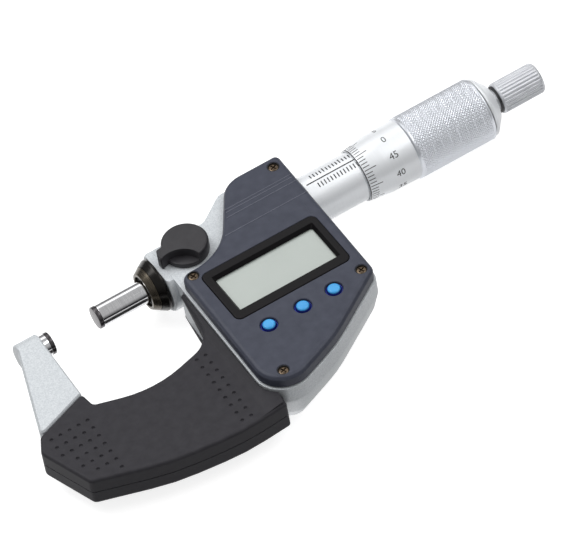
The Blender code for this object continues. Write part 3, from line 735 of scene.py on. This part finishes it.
def ratchet():
    profile = [(135.2, 1.4), (135.2, 3.1), (138.9, 3.1), (138.9, 3.8), (139.3, 3.8),
               (139.3, 4.15, 0.05), (139.6, 4.42, 0.1), (139.9, 4.45)]
    profile += [(139.95 + 1.4 * k, 4.45) for k in range(9)]
    profile += [(151.5, 4.45), (152.2, 4.1, 0.4), (152.2, 2.7, 0.1), (147.7, 2.7), (147.7, 1.4)]
    knob = lathe("ratchet_body", profile, "knob", sides=312, shape=flutes)
    place(knob, "ratchet", "satin_chrome", "ratchet_knob")
    # A black ring on the neck before the knob, painted shade in the gap
    gap_shade = lathe("ratchet_gap_shade", ((138.8, 3.2), (138.8, 3.84), (139.28, 3.84), (139.28, 3.2)), "ink_and_painted_shade")
    place(gap_shade, "ratchet", "satin_chrome")


# ---- display housing ------------------------------------------------------------------------

RIDGES = ((2.9, 57.0), (1.9, 57.0), (0.2, 56.0), (-5.0, 52.5))    # y and where each starts in x


def housing():
    made = slab("housing_shell", HOUSING, ((0.0, HOUSING_LOW), (0.0, 9.0, 0.4), (0.55, 9.75, 0.5),
                                           (1.3, HOUSING_TOP, 0.6), (1.7, HOUSING_TOP)),
                "housing_plastic")
    tools = [slab("opening", rectangle(BEZEL, 2.0), ((0.0, 5.0), (0.0, 9.9), (-0.35, 10.3)))]
    for x, y in SCREW_SPOTS:
        tools.append(lathe("screw_hole", ((5.0, 0.0), (5.0, 1.1), (8.0, 1.1), (8.0, 1.65),
                                          (9.85, 1.65), (10.2, 2.0), (10.2, 0.0)),
                           sides=40, axis="Z", centre=(x, y)))
    for _, x in BUTTONS:
        tools.append(lathe("button_hole", ((5.0, 0.0), (5.0, 2.45), (9.8, 2.45), (10.2, 2.8),
                                           (10.2, 0.0)), sides=48, axis="Z",
                           centre=(x, BUTTON_Y)))
    barrel = lathe("barrel_room", ((70.0, 0.0), (70.0, 8.2), (82.0, 8.2), (82.0, 0.0)))
    cut(made, barrel, *tools)
    place(made, "frame", "housing_plastic", "front_housing")
    # Ridges of the housing plastic, coloured lighter as a painted highlight on their lit faces
    lines = [slab("line", rectangle((start, y - 0.17, RIDGE_END, y + 0.17)),
                  ((0.0, 9.9), (0.05, HOUSING_TOP + 0.06), (0.12, HOUSING_TOP + 0.09)))
             for y, start in RIDGES]
    ridges = merged("housing_ridges", lines, "ridge_highlight")
    place(ridges, "frame", "housing_plastic")


def screws():
    for i, (x, y) in enumerate(SCREW_SPOTS):
        head = lathe(f"screw_{i + 1}", ((1.4, 0.0), (1.4, 0.75), (8.1, 0.75), (8.1, 1.45, 0.1),
                                        (9.5, 1.45, 0.3), (9.65, 0.8, 0.3), (9.65, 0.0)),
                     "screw_steel", sides=40, axis="Z", centre=(x, y))
        arms = []
        for turn in (20.0, 110.0):
            bar = block("bar", (-0.95, -0.2, 9.0), (0.95, 0.2, 10.0))
            bar.data.transform(Matrix.Translation((x * MM, y * MM, 0.0))
                               @ Matrix.Rotation(math.radians(turn), 4, "Z"))
            arms.append(bar)
        cut(head, *arms)
        place(head, "frame", "screw_steel", f"housing_screw_{i + 1}")
        # A dark ring filling the gap round the screw head, painted shade in the counterbore
        ring_shade = lathe(f"screw_gap_shade_{i + 1}", ((8.02, 1.46), (8.02, 1.64), (9.8, 1.64, 0.1),
                                             (9.8, 1.46)), "rubber", sides=40, axis="Z",
                     centre=(x, y))
        place(ring_shade, "frame", "rubber")


def display():
    bezel = slab("bezel_frame", inset(rectangle(BEZEL, 2.0), 0.12),
                 ((0.0, 8.9), (0.0, 9.95, 0.15), (0.15, 10.1, 0.1), (0.6, 10.1)), "bezel_plastic")
    cut(bezel, slab("window", rectangle(WINDOW, 0.6), ((0.0, 8.0), (0.0, 9.0), (-0.7, 10.12),
                                                       (-0.9, 11.0))))
    place(bezel, "frame", "bezel_plastic", "display_bezel")
    low_x, low_y, high_x, high_y = WINDOW
    glass = slab("display_panel", rectangle((low_x - 1.0, low_y + 0.45, high_x + 1.0,
                                             high_y + 1.0), 0.3),
                 ((0.0, 7.5), (0.0, 8.6), (0.02, 8.62)), "lens")
    place(glass, "frame", "lens", "display_lens")
    # A near-white strip along the window's lower edge, painted as a highlight
    lit_lip = slab("display_lip_highlight", rectangle((low_x - 0.9, low_y - 0.8, high_x + 0.9, low_y + 0.42),
                                        0.1), ((0.0, 7.5), (0.0, 8.7), (0.05, 8.75)), "lcd")
    place(lit_lip, "frame", "lcd", "lcd_panel")


def buttons():
    rings = []
    for name, x in BUTTONS:
        cap = lathe(f"{name}_cap", ((9.85, 0.0), (9.85, 1.72), (10.1, 1.72, 0.15),
                                    (10.4, 1.4, 0.5), (10.4, 0.0)),
                    "blue_plastic", sides=64, axis="Z", centre=(x, BUTTON_Y))
        # The cap's lower side is the same blue plastic, painted dark navy as painted shade below its
        # lit top
        shaded_skirt = lathe(f"{name}_skirt", ((6.6, 0.0), (6.6, 1.0), (7.9, 1.0), (7.9, 1.8),
                                        (9.6, 1.8, 0.2), (9.83, 1.65), (9.83, 0.0)),
                      "navy_rubber", sides=64, axis="Z", centre=(x, BUTTON_Y))
        place(shaded_skirt, name, "blue_plastic")
        place(cap, name, "blue_plastic", name)
        rings.append(lathe("ring", ((7.0, 1.92), (7.0, 2.4), (9.3, 2.4, 0.1), (9.4, 2.15, 0.1),
                                    (9.2, 1.92, 0.05)), sides=64, axis="Z",
                           centre=(x, BUTTON_Y)))
    membrane = merged("button_rings", rings, "navy_rubber")
    place(membrane, "frame", "navy_rubber", "button_membrane")


# ---- lock lever and back --------------------------------------------------------------------

def lever():
    top = lathe("lever_body", ((6.95, 0.0), (6.95, LEVER_R), (LEVER_TOP, LEVER_R, 0.9),
                               (LEVER_TOP, 0.0)), "lever_plastic", axis="Z", centre=LEVER_AXIS)
    tab = slab("tab", LEVER_TAB, ((0.0, 6.2), (0.0, LEVER_TOP - 0.2, 0.2), (0.25, LEVER_TOP, 0.1),
                                  (0.4, LEVER_TOP)))
    join(top, tab)
    scoop_x, scoop_y, scoop_r = SCOOP
    cut(top, stud("scoop", scoop_x, scoop_y, 0.0, 20.0, scoop_r, FINE))
    base = lathe("base", ((6.2, 0.0), (6.2, LEVER_R - 0.15, 0.1), (7.6, LEVER_R - 0.15, 0.3),
                          (7.6, 0.0)), axis="Z", centre=LEVER_AXIS)
    join(top, base)
    place(top, "lock_lever", "lever_plastic", "lock_lever")


def battery_cap():
    x, y = BATTERY_SPOT
    cap = lathe("battery_cover", ((-9.5, 0.0), (-9.5, 8.0, 0.25), (-8.9, 8.0), (-8.9, 6.95),
                                  (-5.2, 6.95), (-5.2, 6.25), (-8.4, 6.25), (-8.4, 0.0)),
                "satin_chrome", axis="Z", centre=(x, y))
    coin_slot = slab("coin", rectangle((x - 6.0, y - 0.7, x + 6.0, y + 0.7), 0.68),
                     ((0.0, -12.0), (0.0, -9.0)))
    cut(cap, coin_slot)
    place(cap, "battery_cap", "satin_chrome", "battery_cap")


def carried_over():
    """Gives every CAD node its slot's finish, which shows on those that keep their shape."""
    finishes = {row["node"]: row["material_slot"] for row in frame["record"]["subparts"]}
    for name, node in frame["nodes"].items():
        if not hasattr(node.data, "materials"):
            continue
        node.data.materials.clear()
        node.data.materials.append(MATERIALS[finishes[name]])


def main():
    camera()
    stage()
    carried_over()
    frame_piece()
    cover("front_cover_shell", "front_grip_cover", 1)
    cover("rear_cover_shell", "rear_grip_cover", -1)
    anvil()
    nose()
    spindle()
    sleeve()
    thimble()
    ratchet()
    housing()
    screws()
    display()
    buttons()
    lever()
    battery_cap()


main()
